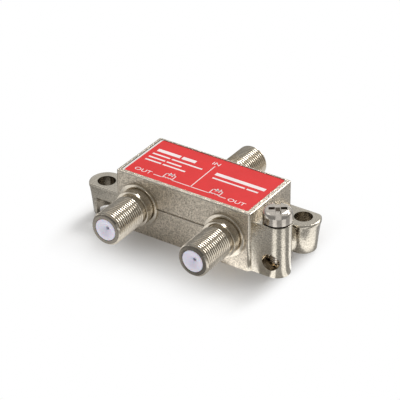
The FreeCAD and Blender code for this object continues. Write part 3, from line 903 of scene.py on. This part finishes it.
class SPLITTER_OT_label(bpy.types.Operator):
    """Makes the label's red field and the lines, symbols and port names printed on it"""
    bl_idname = "splitter.label"
    bl_label = "Label"

    def execute(self, context):
        size = in_mm(context.scene.splitter_label)
        dress("label", printed_film("label_film", (0.80, 0.79, 0.77), 0.4))
        red = printed_film("red_ink", colour_of("red"), 0.45)
        white = printed_film("white_ink", colour_of("white"), 0.4, 0.002)
        sunk, corner = 0.01, 0.5
        film = LABEL_HIGH.z
        field = rounded_slab((LABEL_LOW.x + size.left_margin, LABEL_LOW.y + size.edge_margin, film - sunk),
                             (LABEL_HIGH.x - size.edge_margin, LABEL_HIGH.y - size.rear_margin,
                              film + size.ink), corner)
        piece("label_field", field, "splitter", (), [red])
        whole = joined_bmesh(self.strokes(size) + self.symbols(size) + self.text_bars(size)
                             + self.letters(size))
        raised = bmesh.ops.extrude_face_region(whole, geom=whole.faces[:])["geom"]
        top = [v for v in raised if isinstance(v, bmesh.types.BMVert)]
        bmesh.ops.translate(whole, verts=top, vec=(0, 0, 1.5 * size.ink))
        bmesh.ops.translate(whole, verts=whole.verts, vec=(0, 0, film + size.ink / 2))
        bmesh.ops.recalc_face_normals(whole, faces=whole.faces)
        piece("label_print", whole, "splitter", (), [white])
        return {"FINISHED"}

    def bar(self, x0, y0, x1, y1, width):
        """Flat stroke between two points."""
        run = Vector((x1 - x0, y1 - y0))
        bm = bmesh.new()
        bmesh.ops.create_grid(bm, x_segments=1, y_segments=1, size=0.5)
        bmesh.ops.scale(bm, verts=bm.verts, vec=(run.length + width, width, 1))
        turn = Matrix.Rotation(math.atan2(run.y, run.x), 4, "Z")
        place = Matrix.Translation(((x0 + x1) / 2, (y0 + y1) / 2, 0))
        bmesh.ops.transform(bm, matrix=place @ turn, verts=bm.verts)
        return bm

    def strokes(self, size):
        """Line that joins the two outputs through their symbols, and the line to the input."""
        y = size.line_y
        runs = [(-11.7, y, -9.0, y), (-5.9, y, 6.2, y), (9.3, y, 11.5, y), (0.3, y, 0.0, 5.6)]
        return [self.bar(*run, size.stroke) for run in runs]

    def symbols(self, size):
        """A one-way symbol with a coil below it, for each output."""
        parts = []
        up, low = size.branch_y, size.line_y
        width, stop_at, stop_reach, tail, tip, arrow_half = 3.1, 2.15, 0.75, 0.9, 2.1, 0.8
        first_turn, turn_step, turn_radius = 0.62, 0.93, 0.46
        for x in (-9.0, 6.2):
            far, stop = x + width, x + stop_at
            runs = [(x, low, x, up), (x, up, far, up), (far, up, far, low),
                    (stop, up - stop_reach, stop, up + stop_reach)]
            parts += [self.bar(*run, size.stroke) for run in runs]
            arrow = bmesh.new()
            corners = [(x + tail, up - arrow_half, 0), (x + tip, up, 0), (x + tail, up + arrow_half, 0)]
            bmesh.ops.contextual_create(arrow, geom=[arrow.verts.new(c) for c in corners])
            parts.append(arrow)
            for turn in range(3):
                parts.append(self.arch(x + first_turn + turn * turn_step, low, turn_radius, size.stroke))
        return parts

    def arch(self, x, y, radius, width):
        """Half ring that bulges upwards, one turn of a coil symbol."""
        bm = bmesh.new()
        inner = bm.verts.new((radius - width / 2, 0, 0))
        outer = bm.verts.new((radius + width / 2, 0, 0))
        edge = bm.edges.new((inner, outer))
        bmesh.ops.spin(bm, geom=[inner, outer, edge], cent=(0, 0, 0), axis=(0, 0, 1), dvec=(0, 0, 0),
                       angle=math.pi, steps=12)
        bmesh.ops.translate(bm, verts=bm.verts, vec=(x, y, 0))
        return bm

    def text_bars(self, size):
        """Plain printed bars of two heights, each from one X to another at its Y."""
        bold, fine = size.bold_bar, size.fine_bar
        bars = [(-17.6, -11.4, 4.75, bold), (-9.4, -6.3, 4.75, bold), (-18.2, -13.0, 2.5, fine),
                (-11.8, -2.4, 2.5, fine), (-18.2, -13.4, 0.6, fine), (-12.2, -8.0, 0.6, fine),
                (-18.2, -13.6, -1.1, fine), (-12.4, -5.6, -1.1, fine), (3.0, 17.6, 2.55, bold),
                (3.0, 12.8, 0.35, fine), (14.0, 17.0, 0.35, fine)]
        return [self.bar(x0, y, x1, y, height) for x0, x1, y, height in bars]

    def letters(self, size):
        """Names of the ports, as flat meshes."""
        capital, widened = 0.7, 1.25
        parts = []
        for text, x, y in (("OUT", -15.4, -6.65), ("OUT", 15.0, -6.8), ("IN", -0.3, 6.95)):
            curve = bpy.data.curves.new("port_name", "FONT")
            curve.body = text
            curve.size = size.letter_height / capital
            curve.align_x = "CENTER"
            curve.align_y = "CENTER"
            written = bpy.data.objects.new("port_name", curve)
            bpy.context.scene.collection.objects.link(written)
            depsgraph = bpy.context.evaluated_depsgraph_get()
            mesh = bpy.data.meshes.new_from_object(written.evaluated_get(depsgraph), depsgraph=depsgraph)
            bm = bmesh.new()
            bm.from_mesh(mesh)
            bmesh.ops.remove_doubles(bm, verts=bm.verts, dist=TOUCHING)
            bmesh.ops.scale(bm, verts=bm.verts, vec=(widened, 1, 1))
            bmesh.ops.translate(bm, verts=bm.verts, vec=(x, y, 0))
            bpy.data.objects.remove(written)
            bpy.data.curves.remove(curve)
            bpy.data.meshes.remove(mesh)
            parts.append(bm)
        return parts


class SPLITTER_OT_back(bpy.types.Operator):
    """Finishes the back: the cover's steel and the solder round it"""
    bl_idname = "splitter.back"
    bl_label = "Back Cover"

    def execute(self, context):
        steel = plain_finish("tinned_steel", (0.62, 0.61, 0.59), 0.3, metallic=1.0, grain=0.25,
                             relief=0.006)
        solder = plain_finish("solder", (0.66, 0.66, 0.66), 0.2, metallic=1.0, grain=0.5, relief=0.05)
        dress("back_cover", steel)
        dress("cover_solder", solder)
        return {"FINISHED"}


class SPLITTER_OT_inside(bpy.types.Operator):
    """Finishes the pieces inside the box: board, contacts, cores, windings and small parts"""
    bl_idname = "splitter.inside"
    bl_label = "Inside Parts"

    def execute(self, context):
        finishes = {
            "board": plain_finish("laminate", (0.2, 0.34, 0.16), 0.45, grain=0.12, relief=0.008),
            "spring_bronze": plain_finish("spring_bronze", (0.72, 0.55, 0.3), 0.28, metallic=1.0,
                                          grain=0.2, relief=0.004),
            "ferrite": plain_finish("ferrite", (0.09, 0.09, 0.095), 0.6, grain=0.1, relief=0.01),
            "copper_wire": plain_finish("enamelled_copper", (0.62, 0.26, 0.12), 0.25, metallic=1.0,
                                        grain=0.3, relief=0.02),
            "diode_glass": plain_finish("diode_glass", (0.75, 0.4, 0.2), 0.1, transmission=0.6),
            "ceramic": plain_finish("ceramic", (0.7, 0.45, 0.15), 0.5, grain=0.1, relief=0.006),
            "resistor_body": plain_finish("resistor_body", (0.72, 0.6, 0.42), 0.5, grain=0.1,
                                          relief=0.006),
        }
        for part in frame["record"]["subparts"]:
            if part["material_slot"] in finishes:
                dress(part["node"], finishes[part["material_slot"]])
        return {"FINISHED"}


class SPLITTER_OT_stage(bpy.types.Operator):
    """Makes the pale floor, the soft light and the camera"""
    bl_idname = "splitter.stage"
    bl_label = "Stage"

    def execute(self, context):
        self.floor()
        self.world()
        self.softbox("key_behind", place=(0.0, 0.44, 0.47), size=(0.18, 0.16), power=1.4)
        self.softbox("side_right", place=(0.31, 0.44, 0.35), size=(0.14, 0.2), power=0.6)
        self.softbox("fill_left", place=(-0.5, -0.1, 0.5), size=(0.4, 0.4), power=0.35)
        self.camera()
        bpy.context.scene.view_settings.view_transform = "Standard"
        return {"FINISHED"}

    def floor(self):
        """Large glossy white floor that fades to plain white away from the splitter. In reflections its
        patch round the splitter glows in painted lamp bands.
        """
        bm = bmesh.new()
        bmesh.ops.create_circle(bm, cap_ends=True, radius=4.0, segments=ROUND_STEPS)
        mesh = bpy.data.meshes.new("floor")
        bm.to_mesh(mesh)
        bm.free()
        floor = bpy.data.objects.new("floor", mesh)
        bpy.context.scene.collection.objects.link(floor)
        material, tree, shader = new_material("white_floor")
        mesh.materials.append(material)
        shader.inputs["Base Color"].default_value = (0.92, 0.91, 0.90, 1)
        shader.inputs["Roughness"].default_value = 0.2
        # Half sizes and middle of the shaded patch, and how far outside it the floor turns white.
        shaded_x, shaded_y, middle_x, middle_y = 28.0, 10.0, -1.5, -2.0
        run_x, run_y = 8.0, 23.0
        # dim and bright are the glow of the painted lamp bands that reflections see, from the bands' edges
        # to their middles.
        dim, bright = 0.46, 1.8
        where = place_on_piece(tree, (1 / run_x, 1 / run_y, 0), (-middle_x / run_x, -middle_y / run_y, 0))
        past = vector_maths(tree, "SUBTRACT", vector_maths(tree, "ABSOLUTE", where),
                            (shaded_x / run_x, shaded_y / run_y, 0))
        outside = vector_maths(tree, "MAXIMUM", past, (0, 0, 0))
        far = vector_maths(tree, "LENGTH", outside, result="Value")
        fade = spread(tree, far, 0, 1, way="SMOOTHSTEP")
        # Painted reflection: in reflections the floor glows in bands, painted in place of mirrored strip
        # lamps.
        bands = self.painted_lamp_reflections(tree)
        mirrored = add_node(tree, "ShaderNodeLightPath").outputs["Is Glossy Ray"]
        share = maths(tree, "MAXIMUM", fade, maths(tree, "MULTIPLY", mirrored, bands))
        painted_lamp_glow = spread(tree, bands, 0, 1, dim, bright)
        glow = add_node(tree, "ShaderNodeMix", [(0, mirrored), (2, 1.0), (3, painted_lamp_glow)]).outputs[0]
        white = white_light(tree, "ShaderNodeEmission", glow)
        blend = shader_mix(tree, share, shader.outputs["BSDF"], white)
        tree.links.new(blend, tree.nodes["Material Output"].inputs["Surface"])

    def painted_lamp_reflections(self, tree):
        """Painted reflection: bright bands of glow that spread from the earth block, painted on the floor
        to look like strip lamps mirrored in a glossy table.
        """
        # Angle between bands and of the first one, and how much they dim from a near to a far circle.
        step, first = 65.0, 10.0
        near, far, dimmed = 16.0, 34.0, 0.5
        where = place_on_piece(tree, (1, 1, 0), (-BLOCK_X, -BLOCK_Y, 0))
        turn = add_node(tree, "ShaderNodeTexGradient", [("Vector", where)], gradient_type="RADIAL")
        phase = maths(tree, "MULTIPLY_ADD", turn.outputs["Fac"], 2 * math.pi * 360 / step,
                      -2 * math.pi * (90 + first) / step)
        bands = spread(tree, maths(tree, "COSINE", phase), -0.2, 0.6, way="SMOOTHSTEP")
        away = vector_maths(tree, "LENGTH", where, result="Value")
        return maths(tree, "MULTIPLY", bands, spread(tree, away, near, far, 1.0, dimmed))

    def world(self):
        """White behind the splitter and in glass, a studio that is dimmer in front in reflections,
        and a softer level that lights the splitter."""
        world = bpy.data.worlds.new("studio")
        bpy.context.scene.world = world
        world.use_nodes = True
        tree = world.node_tree
        tree.nodes.clear()
        towards_light = (-0.2, 0.6, 0.77)
        dim_from, bright_from, dim, bright = 0.25, 0.95, 0.34, 0.8
        level = 0.66
        path = add_node(tree, "ShaderNodeLightPath").outputs
        seen = maths(tree, "MAXIMUM", path["Is Camera Ray"], path["Is Transmission Ray"])
        where = add_node(tree, "ShaderNodeTexCoord").outputs["Generated"]
        lean = vector_maths(tree, "DOT_PRODUCT", where, towards_light, result="Value")
        studio = spread(tree, lean, dim_from, bright_from, dim, bright, way="SMOOTHSTEP")
        white, mirrored, soft = (white_light(tree, "ShaderNodeBackground", strength)
                                 for strength in (1.0, studio, level))
        lit = shader_mix(tree, path["Is Glossy Ray"], soft, mirrored)
        out = add_node(tree, "ShaderNodeOutputWorld")
        tree.links.new(shader_mix(tree, seen, lit, white), out.inputs["Surface"])

    def softbox(self, name, place, size, power):
        """Soft rectangular light that faces the splitter."""
        data = bpy.data.lights.new(name, "AREA")
        data.shape = "RECTANGLE"
        data.size, data.size_y = size
        data.energy = power
        aim = Vector((0, 0, 0.01))
        lamp = bpy.data.objects.new(name, data)
        bpy.context.scene.collection.objects.link(lamp)
        lamp.location = place
        lamp.rotation_euler = (aim - Vector(place)).to_track_quat("-Z", "Y").to_euler()

    def camera(self):
        """Camera at the photograph's angle."""
        azimuth, elevation, roll = (math.radians(a) for a in (33.886, 31.598, -0.456))
        # Focal length, centre and side of the image in its own pixels.
        focal, centre_x, centre_y, image = 2034.46, 203.67, 202.87, 400
        distance, below_ports = 0.5578923, 0.4
        aim = Vector((0, 0, PORT_Z - below_ports)) * MM
        back = Vector((math.sin(azimuth) * math.cos(elevation), -math.cos(azimuth) * math.cos(elevation),
                       math.sin(elevation)))
        right = Vector((math.cos(azimuth), math.sin(azimuth), 0))
        up = back.cross(right)
        turned_right = math.cos(roll) * right + math.sin(roll) * up
        turned_up = back.cross(turned_right)
        data = bpy.data.cameras.new("camera")
        data.sensor_width = 36
        data.lens = focal * data.sensor_width / image
        data.shift_x = (image / 2 - centre_x) / image
        data.shift_y = (centre_y - image / 2) / image
        data.clip_start = 0.01
        camera = bpy.data.objects.new("camera", data)
        bpy.context.scene.collection.objects.link(camera)
        turn = Matrix((turned_right, turned_up, back)).transposed()
        camera.matrix_world = Matrix.Translation(aim + back * distance) @ turn.to_4x4()
        bpy.context.scene.camera = camera


STEPS = [SPLITTER_OT_casting, SPLITTER_OT_insulators, SPLITTER_OT_earth_screw, SPLITTER_OT_label,
         SPLITTER_OT_back, SPLITTER_OT_inside, SPLITTER_OT_stage]


class SPLITTER_PT_panel(bpy.types.Panel):
    """Lists the steps and sizes of the splitter"""
    bl_idname = "SPLITTER_PT_panel"
    bl_label = "Coaxial Splitter"
    bl_space_type = "VIEW_3D"
    bl_region_type = "UI"
    bl_category = "Splitter"

    def draw(self, context):
        for name, group in SIZES.items():
            column = self.layout.box().column()
            for key in group.__annotations__:
                column.prop(getattr(context.scene, name), key)
        for step in STEPS:
            self.layout.operator(step.bl_idname)


CLASSES = [*SIZES.values(), *STEPS, SPLITTER_PT_panel]


def register():
    for item in CLASSES:
        bpy.utils.register_class(item)
    for name, group in SIZES.items():
        setattr(bpy.types.Scene, name, bpy.props.PointerProperty(type=group))


def unregister():
    for name in SIZES:
        delattr(bpy.types.Scene, name)
    for item in reversed(CLASSES):
        bpy.utils.unregister_class(item)


def main():
    register()
    bpy.ops.splitter.casting()
    bpy.ops.splitter.insulators()
    bpy.ops.splitter.earth_screw()
    bpy.ops.splitter.label()
    bpy.ops.splitter.back()
    bpy.ops.splitter.inside()
    bpy.ops.splitter.stage()


if __name__ == "__main__":
    main()
